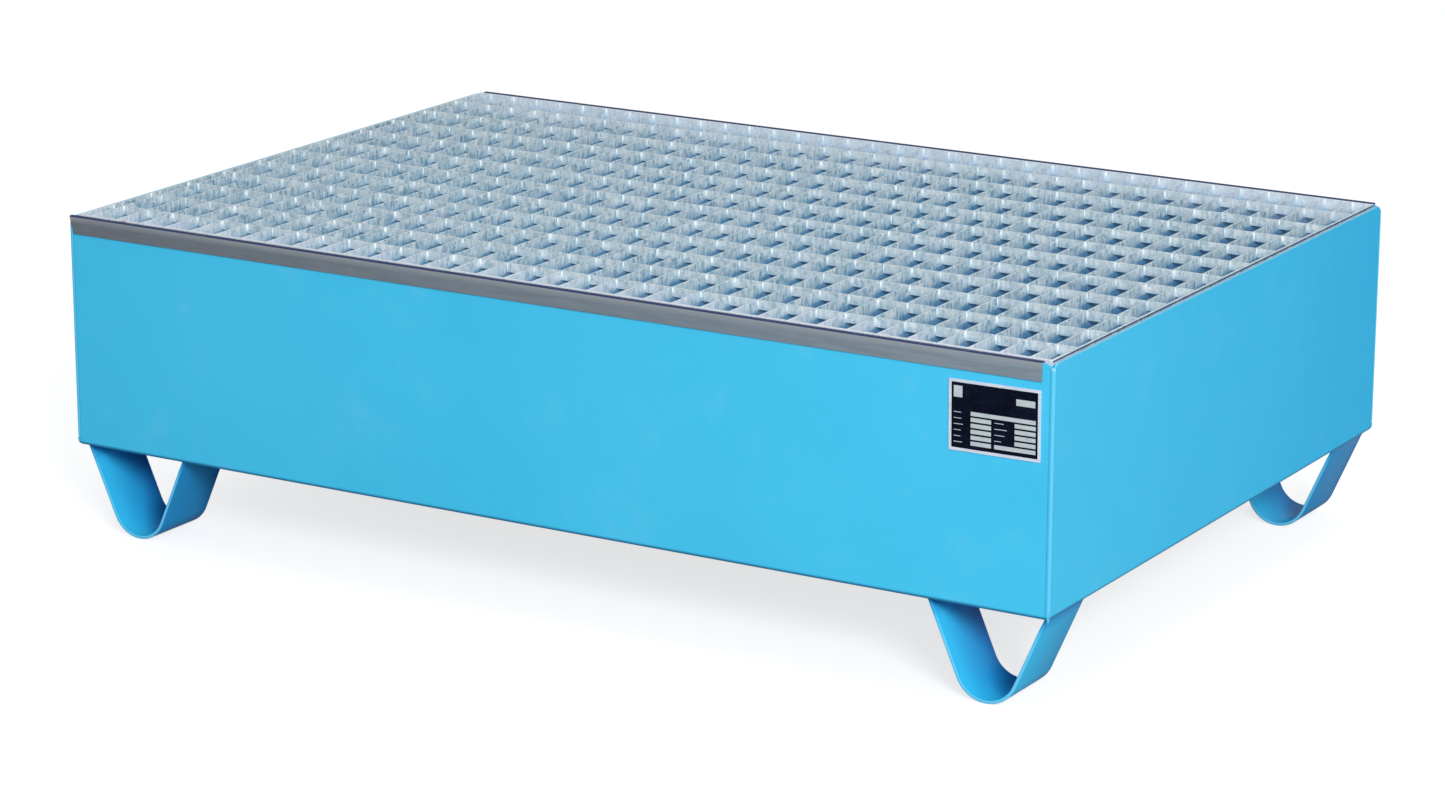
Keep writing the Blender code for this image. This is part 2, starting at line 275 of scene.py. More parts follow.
def tray_paint():
    """The tray's coat: wear and a painted highlight on the rim; painted shade in the fold, at the welds' toes
    and on the right wall.
    """
    g = Graph("blue_paint_tray")
    color, roughness = powder_coat(g)
    x, y, z = g.split(g.place)
    nx, ny, nz = g.split(g.normal)
    ragged = g.noise(90.0, detail=5.0, roughness=0.65)
    # Painted shade: the right wall's coat deepens towards the rear.
    aside = g.math("MULTIPLY", g.span(nx, 0.6, 0.9), g.span(y, TRAY_LOW.y, TRAY_HIGH.y, 0.0, 0.62))
    color = g.mix(aside, color, rgb(28, 182, 240))
    # Wear and painted highlight: the rim's top is paler and ragged, more so towards the right.
    rim_wear_and_highlight = g.math("MULTIPLY", g.span(nz, 0.5, 0.9), g.span(z, TRAY_HIGH.z - 0.003, TRAY_HIGH.z - 0.001))
    rim_wear_and_highlight = g.math("MULTIPLY", rim_wear_and_highlight, g.span(ragged, 0.3, 0.6, 0.25, 0.75))
    rim_wear_and_highlight = g.math("MULTIPLY", rim_wear_and_highlight, g.span(x, -0.55, 0.10, 0.10, 1.0))
    color = g.mix(rim_wear_and_highlight, color, rgb(176, 206, 216))
    # Painted shade: downward faces in the floor's fold are darker.
    fold = g.math("MULTIPLY", g.span(nz, -0.1, -0.55, 0.0, 0.65), g.span(z, 0.1070, 0.1035))
    color = g.mix(fold, color, rgb(10, 92, 156))
    # Painted shade: a dark line on the walls along each corner bead's toe, as in a groove.
    toe_x = g.near(g.math("ABSOLUTE", x), TRAY_HIGH.x + 0.0005 - BEAD_RADIUS - BEAD_WING, 0.0003, 0.0007)
    toe_x = g.math("MULTIPLY", toe_x, g.span(g.math("ABSOLUTE", ny), 0.6, 0.9))
    toe_y = g.near(g.math("ABSOLUTE", y), TRAY_HIGH.y + 0.0005 - BEAD_RADIUS - BEAD_WING, 0.0003, 0.0007)
    toe_y = g.math("MULTIPLY", toe_y, g.span(g.math("ABSOLUTE", nx), 0.6, 0.9))
    toes = g.math("ADD", g.math("MULTIPLY", toe_x, 0.45), g.math("MULTIPLY", toe_y, 0.15))
    color = g.mix(toes, color, rgb(20, 122, 184))
    g.bumps(
        (g.noise(1.7, detail=2.0), 0.35, 0.010),
        (g.noise(9.0, detail=2.0), 0.12, 0.0012),
        (g.noise(420.0, detail=2.0), 0.10, 0.0004),
    )
    return g.finish(color, roughness, Specular_IOR_Level=0.10)


def part_paint():
    """The same coat on the feet and the ledge frame, with painted shade and a painted edge highlight on the
    feet.
    """
    g = Graph("blue_paint_parts")
    color, roughness = powder_coat(g)
    color = g.mix(0.42, color, rgb(22, 196, 255))
    x, y, z = g.split(g.place)
    nx, ny, nz = g.split(g.normal)
    # Painted highlight, with a thinner coat: the bar's sides facing front and back are paler low on the feet.
    facing_y = g.span(g.math("ABSOLUTE", ny), 0.35, 0.75, 0.0, 0.45)
    edges = g.math("MULTIPLY", facing_y, g.span(z, 0.092, 0.060))
    color = g.mix(edges, color, rgb(140, 218, 250))
    # Painted shade: deeper towards each foot's rear edge, on outer faces that look to the right and down,
    # and just under the tray. The front right foot gets less of it than the others.
    front_low, front_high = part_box("foot_front_left")
    rear_low, rear_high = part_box("foot_rear_left")
    front_share = g.span(y, front_low.y + 0.01, front_high.y)
    rear_share = g.span(y, rear_low.y + 0.01, rear_high.y)
    share = g.math("ADD", front_share, rear_share)
    share = g.math("SUBTRACT", share, g.math("GREATER_THAN", y, 0.0))
    outer = g.math("MULTIPLY", g.span(nx, 0.2, 0.6), g.span(nz, -0.05, -0.30))
    lit = g.math("MULTIPLY", outer, g.math("MULTIPLY", g.span(x, 0.4, 0.5), g.math("LESS_THAN", y, 0.0)))
    share = g.math("MULTIPLY", share, g.span(lit, 0.0, 1.0, 0.72, 0.25))
    missed = g.math("MULTIPLY", g.math("SUBTRACT", outer, lit), 0.5)
    share = g.math("MAXIMUM", share, missed)
    under = g.math("MULTIPLY", g.span(z, 0.080, 0.099, 0.0, 0.6), g.span(z, 0.112, 0.102))
    deep = g.math("MULTIPLY", g.math("MAXIMUM", share, under), g.span(z, 0.112, 0.102))
    color = g.mix(deep, color, rgb(0, 82, 184))
    scuffed = g.math("MULTIPLY", g.span(z, 0.007, 0.001), g.span(g.noise(120.0, detail=5.0), 0.42, 0.6))
    scuffed = g.math("MULTIPLY", scuffed, g.span(nz, -0.2, -0.6))
    color = g.mix(g.math("MULTIPLY", scuffed, 0.5), color, rgb(150, 176, 188))
    g.bumps(
        (g.noise(22.0, detail=2.0), 0.12, 0.0008),
        (g.noise(420.0, detail=2.0), 0.10, 0.0004),
    )
    return g.finish(color, roughness, Specular_IOR_Level=0.12)


def bead_paint():
    """Paint over a weld: a shade paler, with spatter and a painted highlight at its top."""
    g = Graph("blue_paint_beads")
    color, roughness = powder_coat(g)
    color = g.mix(0.14, color, rgb(150, 214, 240))
    z = g.split(g.place)[2]
    # Painted highlight: whiter towards the bead's top.
    color = g.mix(g.span(z, BEAD_TOP - 0.004, BEAD_TOP, 0.0, 0.5), color, rgb(196, 214, 220))
    g.bumps((g.cells(620.0), 0.2, 0.0004), (g.noise(900.0, detail=2.0), 0.15, 0.0002))
    return g.finish(color, roughness, Specular_IOR_Level=0.35)


def galvanised_steel():
    """Hot-dip zinc: stains, frozen runs and spangle, with painted shade down in the grating and painted light
    on the outer rows.
    """
    g = Graph("galvanised_steel")
    x, y, z = g.split(g.place)
    nx, ny, nz = g.split(g.normal)
    broad = g.noise(17.0, detail=4.0, roughness=0.6)
    runs = g.cells(1.0, vector=g.stretched((150.0, 150.0, 42.0)))
    run_mask = g.span(runs, 0.20, 0.42, 1.0, 0.0)
    fine = g.noise(1.0, detail=5.0, roughness=0.70, vector=g.stretched((300.0, 300.0, 80.0)))
    blotch = g.noise(125.0, detail=4.0, roughness=0.65)
    patch = g.noise(92.0, detail=4.0, roughness=0.6)
    grain = g.node("ShaderNodeSeparateColor")
    g.feed(grain.inputs["Color"], g.cells(150.0, "Color"))
    grain = grain.outputs["Red"]
    top = GRATING_HIGH.z
    crosswise = g.span(g.math("ABSOLUTE", ny), 0.5, 0.9)
    color = g.mix(crosswise, rgb(190, 214, 224), rgb(204, 222, 228))
    smooth = g.math("SUBTRACT", 1.0, g.math("MULTIPLY", crosswise, 0.35))
    stained = g.math("MULTIPLY", smooth, g.span(blotch, 0.46, 0.57, 0.0, 0.88))
    color = g.mix(stained, color, rgb(90, 146, 172))
    color = g.mix(g.span(fine, 0.42, 0.60, 0.0, 0.78), color, rgb(232, 241, 245))
    color = g.mix(g.span(broad, 0.45, 0.66, 0.0, 0.30), color, rgb(146, 184, 200))
    color = g.mix(g.span(patch, 0.53, 0.62, 0.0, 0.86), color, rgb(240, 246, 247))
    wet = g.math("MULTIPLY", run_mask, g.span(broad, 0.35, 0.6, 0.30, 0.90))
    color = g.mix(wet, color, rgb(232, 243, 248))
    color = g.mix(g.span(grain, 0.0, 1.0, 0.0, 0.22), color, rgb(138, 168, 180))
    color = g.mix(g.span(nz, 0.35, 0.8, 0.0, 0.6), color, rgb(196, 216, 228))
    color = g.mix(g.math("MULTIPLY", crosswise, 0.16), color, rgb(232, 232, 226))
    # Painted shade: the bars turn teal and then navy with depth, and are darker under the cross bars, to the
    # front and to the rear of each alike. The border's outer faces are left out.
    inside_x = g.span(g.math("ABSOLUTE", x), GRATING_HIGH.x - 0.0018, GRATING_HIGH.x - 0.0024)
    inside_y = g.span(g.math("ABSOLUTE", y), GRATING_HIGH.y - 0.0018, GRATING_HIGH.y - 0.0024)
    inside = g.math("MULTIPLY", inside_x, inside_y)
    teal = g.math("MULTIPLY", inside, g.span(z, top - 0.005, top - 0.016, 0.0, 0.66))
    color = g.mix(teal, color, rgb(78, 152, 188))
    navy = g.math("MULTIPLY", inside, g.span(z, top - 0.018, top - 0.025, 0.0, 0.92))
    color = g.mix(navy, color, rgb(12, 58, 124))
    first, last = middle_of(CROSS_BARS[0], 1), middle_of(CROSS_BARS[-1], 1)
    pitch = (last - first) / (len(CROSS_BARS) - 1)
    turn = g.math("FRACT", g.math("ADD", g.math("DIVIDE", g.math("SUBTRACT", y, first), pitch), 0.5))
    apart = g.math("MULTIPLY", g.math("ABSOLUTE", g.math("SUBTRACT", turn, 0.5)), pitch)
    below = g.math("MULTIPLY", inside, g.span(z, top - CROSS_HEIGHT, top - CROSS_HEIGHT - 0.002, 0.0, 0.60))
    shade = g.math("MULTIPLY", below, g.span(apart, SHADE_REACH, SHADE_REACH * 0.45))
    color = g.mix(shade, color, rgb(70, 132, 174))
    # Painted light: whiter rows along the front and the rear.
    front = g.span(y, GRATING_LOW.y + 0.058, GRATING_LOW.y + 0.004, 0.0, 0.8)
    rear = g.span(y, GRATING_HIGH.y - 0.095, GRATING_HIGH.y - 0.010, 0.0, 0.5)
    color = g.mix(g.math("MAXIMUM", front, rear), color, rgb(234, 240, 250))
    # Painted shade under the cross bars again, over the whiter rows.
    color = g.mix(g.math("MULTIPLY", shade, 0.3), color, rgb(70, 132, 174))
    # Painted shade: the gap between the border and the tray's side walls, as a dark line.
    outside = g.math("MULTIPLY", g.math("SUBTRACT", 1.0, inside_x), g.span(g.math("ABSOLUTE", nx), 0.5, 0.8))
    slot = g.math("MULTIPLY", outside, g.near(z, top - 0.0014, 0.0007, 0.0011))
    color = g.mix(g.math("MULTIPLY", slot, 0.9), color, rgb(16, 44, 96))
    for mark in RED_MARKS:
        color = g.mix(g.math("MULTIPLY", g.spot(mark, RED_MARK_SIZE), 0.75), color, rgb(176, 96, 96))
    roughness = g.span(g.math("ADD", fine, g.math("MULTIPLY", grain, 0.3)), 0.4, 0.95, 0.36, 0.56)
    g.bumps(
        (run_mask, 0.6, 0.0008),
        (fine, 0.35, 0.0006),
        (g.cells(150.0), 0.08, 0.0003),
    )
    return g.finish(color, roughness, 0.10)


def bright_zinc():
    """Thick zinc caught in the corners: smooth and pale, with a painted highlight at the top and painted
    shade down with depth.
    """
    g = Graph("galvanised_steel_fillets")
    cloud = g.noise(240.0, detail=4.0)
    dull = g.noise(34.0, detail=2.0)
    z = g.split(g.place)[2]
    top = GRATING_HIGH.z
    color = g.mix(g.span(cloud, 0.3, 0.7), rgb(228, 240, 247), rgb(253, 254, 254))
    color = g.mix(g.span(dull, 0.48, 0.62, 0.0, 0.35), color, rgb(192, 212, 222))
    # Painted shade: duller and darker with depth, below the painted highlight at the top.
    color = g.mix(g.span(z, top - 0.0035, top - 0.0070, 0.0, 0.50), color, rgb(178, 204, 218))
    color = g.mix(g.span(z, top - 0.0070, top - 0.0120, 0.0, 0.75), color, rgb(140, 180, 202))
    g.bumps((cloud, 0.2, 0.0003))
    return g.finish(color, g.span(cloud, 0.3, 0.7, 0.25, 0.40))


def bare_steel():
    """Brushed bare metal: fine lines along X, painted light towards the right end and on the folded edge, and
    a dark blue line of painted shade on top.
    """
    g = Graph("bare_steel")
    x, _, z = g.split(g.place)
    lines = g.noise(1.0, detail=6.0, roughness=0.75, vector=g.stretched((55.0, 1500.0, 1500.0)))
    bands = g.noise(1.0, detail=4.0, vector=g.stretched((22.0, 260.0, 260.0)))
    # Painted light: paler towards the right end, darker towards the left.
    color = g.mix(g.span(x, TRAY_LOW.x, TRAY_HIGH.x), rgb(112, 121, 135), rgb(145, 165, 181))
    color = g.mix(g.span(lines, 0.32, 0.68, 0.0, 0.35), color, rgb(160, 166, 168))
    color = g.mix(g.span(bands, 0.42, 0.62, 0.0, 0.22), color, rgb(104, 113, 122))
    top = GRATING_HIGH.z
    # Painted highlight: paler on the folded edge near the top.
    edge = g.math("MULTIPLY", g.span(z, top - 0.0085, top - 0.0020), g.span(bands, 0.3, 0.7, 0.5, 0.8))
    color = g.mix(edge, color, rgb(176, 182, 188))
    # Painted shade and painted reflection: a dark blue line near the top, for the shaded gap to the grating.
    color = g.mix(g.span(z, top - 0.0016, top - 0.0009, 0.0, 0.95), color, rgb(4, 46, 104))
    scratches = g.span(g.noise(1.0, detail=2.0, vector=g.stretched((60.0, 900.0, 2600.0))), 0.66, 0.74)
    color = g.mix(g.math("MULTIPLY", scratches, 0.35), color, rgb(206, 208, 208))
    g.bumps((lines, 0.18, 0.0002), (scratches, 0.10, 0.0001))
    return g.finish(color, g.span(lines, 0.3, 0.7, 0.34, 0.50), 0.45)


def plate_metal():
    """Bright brushed metal of the plate's border."""
    g = Graph("plate_metal")
    brushed = g.noise(1.0, detail=4.0, vector=g.stretched((50.0, 900.0, 1600.0)))
    cloud = g.noise(55.0, detail=4.0, roughness=0.6)
    color = g.mix(g.span(brushed, 0.3, 0.7), rgb(200, 212, 232), rgb(230, 237, 247))
    color = g.mix(g.span(cloud, 0.4, 0.7, 0.0, 0.35), color, rgb(164, 178, 206))
    g.bumps((brushed, 0.10, 0.0001))
    return g.finish(color, g.span(cloud, 0.3, 0.7, 0.34, 0.46), 0.05)


def plate_print():
    """Near-black printed panel with a faint sheen of fine scratches."""
    g = Graph("plate_print")
    cloud = g.noise(48.0, detail=5.0, roughness=0.6)
    color = g.mix(g.span(cloud, 0.3, 0.7), rgb(4, 8, 22), rgb(12, 18, 40))
    scratch = g.span(g.noise(1.0, detail=3.0, vector=g.stretched((120.0, 900.0, 2400.0))), 0.62, 0.72)
    color = g.mix(g.math("MULTIPLY", scratch, 0.10), color, rgb(120, 130, 150))
    g.bumps((g.noise(900.0, detail=2.0), 0.08, 0.0001), (scratch, 0.06, 0.0001))
    return g.finish(color, g.span(cloud, 0.3, 0.7, 0.40, 0.52), Specular_IOR_Level=0.06)


def plate_field():
    """Blank fields for the data, satin metal that has gone slightly dull."""
    g = Graph("plate_field")
    brushed = g.noise(1.0, detail=4.0, vector=g.stretched((60.0, 900.0, 1500.0)))
    smudge = g.noise(95.0, detail=4.0, roughness=0.6)
    color = g.mix(g.span(brushed, 0.3, 0.7), rgb(178, 190, 198), rgb(204, 214, 218))
    color = g.mix(g.span(smudge, 0.5, 0.72, 0.0, 0.3), color, rgb(152, 166, 176))
    g.bumps((brushed, 0.06, 0.0001))
    return g.finish(color, g.span(smudge, 0.3, 0.7, 0.38, 0.52), 0.05)


def floor_finish():
    """A pale floor that throws back less light than it shows, as a grey one under a white cut-out would."""
    g = Graph("studio_floor")
    cloud = g.noise(0.8, detail=3.0)
    color = g.mix(g.span(cloud, 0.3, 0.7), (0.42, 0.42, 0.42, 1), (0.44, 0.44, 0.44, 1))
    g.finish(color, 0.8, Emission_Color=(1, 1, 1, 1), Emission_Strength=FLOOR_GLOW)
    thrown_back = g.node("ShaderNodeBsdfDiffuse", Color=(0.45, 0.45, 0.45, 1))
    seen = g.node("ShaderNodeLightPath").outputs["Is Camera Ray"]
    both = g.node("ShaderNodeMixShader", Fac=seen)
    g.feed(both.inputs[1], thrown_back.outputs["BSDF"])
    g.feed(both.inputs[2], g.shader.outputs["BSDF"])
    g.feed(g.tree.nodes["Material Output"].inputs["Surface"], both.outputs["Shader"])
    return g.material


# ---- shared modelling helpers -------------------------------------------------------------------------
def new_piece(name, bm, material, body, smooth_angle=40):
    """Turns the mesh into an object that rides a body, smooth where its faces meet at less than the angle."""
    bmesh.ops.recalc_face_normals(bm, faces=bm.faces)
    mesh = bpy.data.meshes.new(name)
    bm.to_mesh(mesh)
    bm.free()
    mesh.shade_smooth()
    mesh.set_sharp_from_angle(angle=math.radians(smooth_angle))
    mesh.materials.append(material)
    piece = bpy.data.objects.new(name, mesh)
    bpy.context.scene.collection.objects.link(piece)
    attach(piece, body)
    return piece


def loft(bm, rings, loop=False):
    """Quads between rings of equally many points, capped at both ends or closed to a loop."""
    made = [[bm.verts.new(point) for point in ring] for ring in rings]
    pairs = list(zip(made, made[1:]))
    if loop:
        pairs.append((made[-1], made[0]))
    for first, second in pairs:
        for i in range(len(first)):
            j = (i + 1) % len(first)
            bm.faces.new((first[i], first[j], second[j], second[i]))
    if not loop:
        bm.faces.new(made[0])
        bm.faces.new(made[-1])


def rounded_rectangle(width, height, radius, steps=4):
    """Points round a rectangle with round corners, centred on the origin."""
    points = []
    for sx, sy, start in ((1, 1, 0), (-1, 1, 90), (-1, -1, 180), (1, -1, 270)):
        for i in range(steps + 1):
            angle = math.radians(start + 90 * i / steps)
            points.append((
                sx * (width / 2 - radius) + radius * math.cos(angle),
                sy * (height / 2 - radius) + radius * math.sin(angle),
            ))
    return points


def turned(center, radius, start, end, steps):
    """Points on an arc, angles in radians."""
    angles = [start + (end - start) * i / steps for i in range(steps + 1)]
    return [(center[0] + radius * math.cos(a), center[1] + radius * math.sin(a)) for a in angles]


def soften_edges(node, width, material, segments=2):
    """Gives a CAD node its material and a small radius on its sharp edges."""
    node.data.materials.clear()
    node.data.materials.append(material)
    node.data.shade_smooth()
    weld = node.modifiers.new("weld", "WELD")
    weld.merge_threshold = 0.00002
    flat = node.modifiers.new("flat", "DECIMATE")
    flat.decimate_type = "DISSOLVE"
    flat.angle_limit = math.radians(0.5)
    bevel = node.modifiers.new("edges", "BEVEL")
    bevel.width = width
    bevel.segments = segments
    bevel.limit_method = "ANGLE"
    bevel.angle_limit = math.radians(35)
    normals = node.modifiers.new("normals", "WEIGHTED_NORMAL")
    normals.keep_sharp = True


# ---- the stage ----------------------------------------------------------------------------------------
def make_camera():
    data = bpy.data.cameras.new("camera")
    data.lens = LENS_MM
    data.sensor_width = SENSOR_MM
    camera = bpy.data.objects.new("camera", data)
    az, el = CAMERA_AZIMUTH, CAMERA_ELEVATION
    back = Vector((math.sin(az) * math.cos(el), -math.cos(az) * math.cos(el), math.sin(el)))
    look = (-back).to_track_quat("-Z", "Y").to_matrix().to_4x4()
    camera.matrix_world = Matrix.Translation(CAMERA_PLACE) @ look @ Matrix.Rotation(CAMERA_ROLL, 4, "Z")
    bpy.context.scene.collection.objects.link(camera)
    bpy.context.scene.camera = camera


def make_light(name, place, target, size, power):
    data = bpy.data.lights.new(name, "AREA")
    data.shape = "RECTANGLE"
    data.size, data.size_y = size
    data.energy = power
    light = bpy.data.objects.new(name, data)
    light.location = place
    light.rotation_mode = "QUATERNION"
    light.rotation_quaternion = (Vector(target) - Vector(place)).to_track_quat("-Z", "Y")
    bpy.context.scene.collection.objects.link(light)


def make_stage():
    world = bpy.data.worlds.new("studio")
    world.use_nodes = True
    background = world.node_tree.nodes["Background"]
    background.inputs["Color"].default_value = (1, 1, 1, 1)
    background.inputs["Strength"].default_value = WORLD_STRENGTH
    bpy.context.scene.world = world
    bpy.context.scene.view_settings.view_transform = "Standard"
    bm = bmesh.new()
    bmesh.ops.create_circle(bm, cap_ends=True, radius=FLOOR_RADIUS, segments=96)
    mesh = bpy.data.meshes.new("studio_floor")
    bm.to_mesh(mesh)
    bm.free()
    mesh.materials.append(floor_finish())
    floor = bpy.data.objects.new("studio_floor", mesh)
    bpy.context.scene.collection.objects.link(floor)
    make_light("key", KEY_PLACE, LIGHT_TARGET, KEY_SIZE, KEY_WATTS)
    make_light("top", TOP_PLACE, LIGHT_TARGET, TOP_SIZE, TOP_WATTS)


# ---- the tray and what is welded to it ----------------------------------------------------------------
def tray_underside(x, y):
    """Height of the tray's underside, which curves up at the fold to the walls."""
    over = max(abs(x) - (TRAY_HIGH.x - FLOOR_BEND), abs(y) - (TRAY_HIGH.y - FLOOR_BEND), 0.0)
    over = min(over, FLOOR_BEND)
    return TRAY_LOW.z + FLOOR_BEND - math.sqrt(FLOOR_BEND ** 2 - over ** 2)


def foot_line(arc_steps=44, arm_steps=6):
    """Middle line of the bent bar, left top to right top, as points and outward normals in the XZ plane."""
    middle = FOOT_BEND - FOOT_THICK / 2
    start, end = math.pi + FOOT_LEAN, 2 * math.pi - FOOT_LEAN
    arm = Vector((math.sin(FOOT_LEAN), math.cos(FOOT_LEAN)))
    bend = turned((0, FOOT_BEND), middle, start, end, arc_steps)
    rise = (TRAY_LOW.z - bend[-1][1]) / arm.y
    right_normal = Vector((math.cos(FOOT_LEAN), -math.sin(FOOT_LEAN)))
    right = [(Vector(bend[-1]) + arm * rise * i / arm_steps, right_normal) for i in range(1, arm_steps + 1)]
    line = [(Vector((-p.x, p.y)), Vector((-n.x, n.y))) for p, n in reversed(right)]
    line += [(Vector(p), (Vector(p) - Vector((0, FOOT_BEND))).normalized()) for p in bend]
    return line + right


def add_foot_bar(bm, x_middle, y_middle, width, top):
    """A flat bar with rolled edges along the foot's line, its ends cut level at the top."""
    section = rounded_rectangle(width, FOOT_THICK, FOOT_EDGE)
    line = foot_line()
    rings = []
    for i, (point, normal) in enumerate(line):
        bent = max(0.0, 1.0 - (point.y / FOOT_BEND) ** 2)
        ring = []
        for across, out in section:
            # Bending squeezes the inner side, which spreads, and stretches the outer side, which draws in.
            y = across * (1 - 0.008 * bent * out / FOOT_THICK)
            place = point + normal * out
            if i in (0, len(line) - 1):
                place.x += math.copysign((top - place.y) * math.tan(FOOT_LEAN), point.x)
                place.y = top
            ring.append((x_middle + place.x, y_middle + y, place.y))
        rings.append(ring)
    loft(bm, rings)


def add_foot_welds(bm, x_middle, y_middle, width):
    """A rippled fillet weld round the top of each arm."""
    top = TRAY_LOW.z
    half_top = (FOOT_BEND * (1 - math.sin(FOOT_LEAN)) + top * math.sin(FOOT_LEAN)) / math.cos(FOOT_LEAN)
    thick = FOOT_THICK / math.cos(FOOT_LEAN)
    for side in (-1, 1):
        outline = rounded_rectangle(thick, width, 0.0006, steps=3)
        path = []
        for i, (ax, ay) in enumerate(outline):
            bx, by = outline[(i + 1) % len(outline)]
            length = math.hypot(bx - ax, by - ay)
            count = max(1, round(length / FOOT_WELD_STEP))
            path += [(ax + (bx - ax) * k / count, ay + (by - ay) * k / count) for k in range(count)]
        rings = []
        for i, (px, py) in enumerate(path):
            qx, qy = path[(i + 1) % len(path)]
            rx, ry = path[i - 1]
            out = Vector((qy - ry, rx - qx)).normalized()
            ripple = 1 + 0.10 * math.sin(i * 2.1) + RNG.uniform(-0.04, 0.04)
            leg = FOOT_WELD * ripple
            ring = []
            for share, down in FOOT_WELD_SECTION:
                sink = leg * down
                arm_x = x_middle + side * (half_top - thick / 2 - sink * math.tan(FOOT_LEAN))
                x = arm_x + px + out.x * leg * share
                y = y_middle + py + out.y * leg * share
                ring.append((x, y, tray_underside(x, y) + 0.0002 - sink))
            rings.append(ring)
        loft(bm, rings, loop=True)


def make_feet(paint):
    for name in FEET:
        low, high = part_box(name)
        x_middle, y_middle = (low.x + high.x) / 2, (low.y + high.y) / 2
        bm = bmesh.new()
        add_foot_bar(bm, x_middle, y_middle, high.y - low.y, high.z)
        bar = new_piece(name + "_bar", bm, paint, "root")
        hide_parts(name)
        bm = bmesh.new()
        add_foot_welds(bm, x_middle, y_middle, high.y - low.y)
        new_piece(name + "_weld", bm, paint, "root", smooth_angle=60)


def bead_outline():
    """Half-round bead over an outside corner, as distances in from both faces, with a wing on each wall."""
    wing = [(BEAD_RADIUS + BEAD_WING, 0.00062), (BEAD_RADIUS + 0.6 * BEAD_WING, 0.00034),
            (BEAD_RADIUS + 0.25 * BEAD_WING, 0.00010)]
    crown = turned((BEAD_RADIUS, BEAD_RADIUS), BEAD_RADIUS, -math.pi / 2, -math.pi, 8)
    return wing + crown + [(v, u) for u, v in reversed(wing)]


def make_corner_bead(name, material):
    low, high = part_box(name)
    sx = math.copysign(1, low.x + high.x)
    sy = math.copysign(1, low.y + high.y)
    corner_x, corner_y = max(abs(low.x), abs(high.x)), max(abs(low.y), abs(high.y))
    outline = bead_outline()
    middle = (len(outline) - 1) / 2
    heart = BEAD_RADIUS
    tip = BEAD_TIP if name == "corner_weld_front_right" else BEAD_END
    count = round((BEAD_TOP - tip) / BEAD_STEP)
    wobble = [RNG.uniform(-0.6, 0.6) for _ in range(count + 1)]
    rings = []
    for k in range(count + 1):
        z = tip + BEAD_STEP * k
        swell = min(1.0, 0.22 + (z - tip) / 0.010) * min(1.0, 0.35 + (BEAD_TOP - z) / 0.0025)
        ring = []
        for i, (u, v) in enumerate(outline):
            lag = ((i - middle) / middle) ** 2 * 0.0011
            wave = math.sin(2 * math.pi * (z + lag) / BEAD_PITCH + 0.5 * wobble[k // 5])
            dip = BEAD_RIPPLE * (0.5 - 0.5 * wave) * (1 - abs(i - middle) / middle * 0.5)
            u, v = heart + (u - heart) * swell, heart + (v - heart) * swell
            toward = Vector((heart - u, heart - v))
            if toward.length > dip:
                toward = toward.normalized() * dip
            ring.append((sx * (corner_x - u - toward.x), sy * (corner_y - v - toward.y), z))
        ring.append((sx * (corner_x - heart - 0.0016), sy * (corner_y - heart - 0.0016), z))
        rings.append(ring)
    bm = bmesh.new()
    loft(bm, rings)
    bead = new_piece(name + "_bead", bm, material, "root", smooth_angle=70)
    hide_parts(name)


def rail_outline(low, high, outer_side):
    """The channel's section in the YZ plane. outer_side is -1 where its long leg faces -Y."""
    depth, height = high.y - low.y, high.z - low.z
    inner = RAIL_BEND - RAIL_SHEET
    points = [(0.0, 0.0)]
    points += turned((RAIL_BEND, height - RAIL_BEND), RAIL_BEND, math.pi, math.pi / 2, 7)
    points += turned((depth - RAIL_BEND, height - RAIL_BEND), RAIL_BEND, math.pi / 2, 0, 7)
    points += [(depth, height - RAIL_LEG), (depth - RAIL_SHEET, height - RAIL_LEG)]
    points += turned((depth - RAIL_BEND, height - RAIL_BEND), inner, 0, math.pi / 2, 4)
    points += turned((RAIL_BEND, height - RAIL_BEND), inner, math.pi / 2, math.pi, 4)
    points += [(RAIL_SHEET, 0.0)]
    start = low.y if outer_side < 0 else high.y
    return [(start - outer_side * y, low.z + z) for y, z in points]


def make_rails(metal):
    for name, outer_side, slant in zip(RAILS, (-1, 1), (RAIL_SLANT, 0.0)):
        low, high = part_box(name)
        outline = rail_outline(low, high, outer_side)
        stations = 48
        rings = []
        for k in range(stations + 1):
            share = k / stations
            ring = []
            for y, z in outline:
                start = low.x - 0.45 * slant + slant * (high.z - z) / (high.z - low.z)
                x = start + (high.x - start) * share
                wave = 0.00012 * math.sin(9.0 * x + 1.0) * (high.z - z) / (high.z - low.z)
                ring.append((x, y - outer_side * abs(wave), z))
            rings.append(ring)
        bm = bmesh.new()
        loft(bm, rings)
        rail = new_piece(name + "_channel", bm, metal, "root", smooth_angle=30)
        edge = rail.modifiers.new("edges", "BEVEL")
        edge.width = 0.0002
        edge.segments = 2
        edge.limit_method = "ANGLE"
        edge.angle_limit = math.radians(50)
        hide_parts(name)


def add_stitch(bm, start, along, inward, length, leg):
    """A short rippled fillet between a level ledge and an upright wall."""
    steps = max(6, round(length / STITCH_STEP))
    rings = []
    for k in range(steps + 1):
        swell = min(1.0, 0.35 + 2.4 * min(k, steps - k) / steps * 2.5)
        size = leg * swell * (1 + 0.10 * math.sin(2.3 * k) + RNG.uniform(-0.05, 0.05))
        base = Vector(start) + Vector(along) * (length * k / steps)
        ring = []
        for out, up in STITCH_SECTION:
            ring.append(base + Vector(inward) * size * out + Vector((0, 0, size * up)))
        rings.append(ring)
    loft(bm, rings)


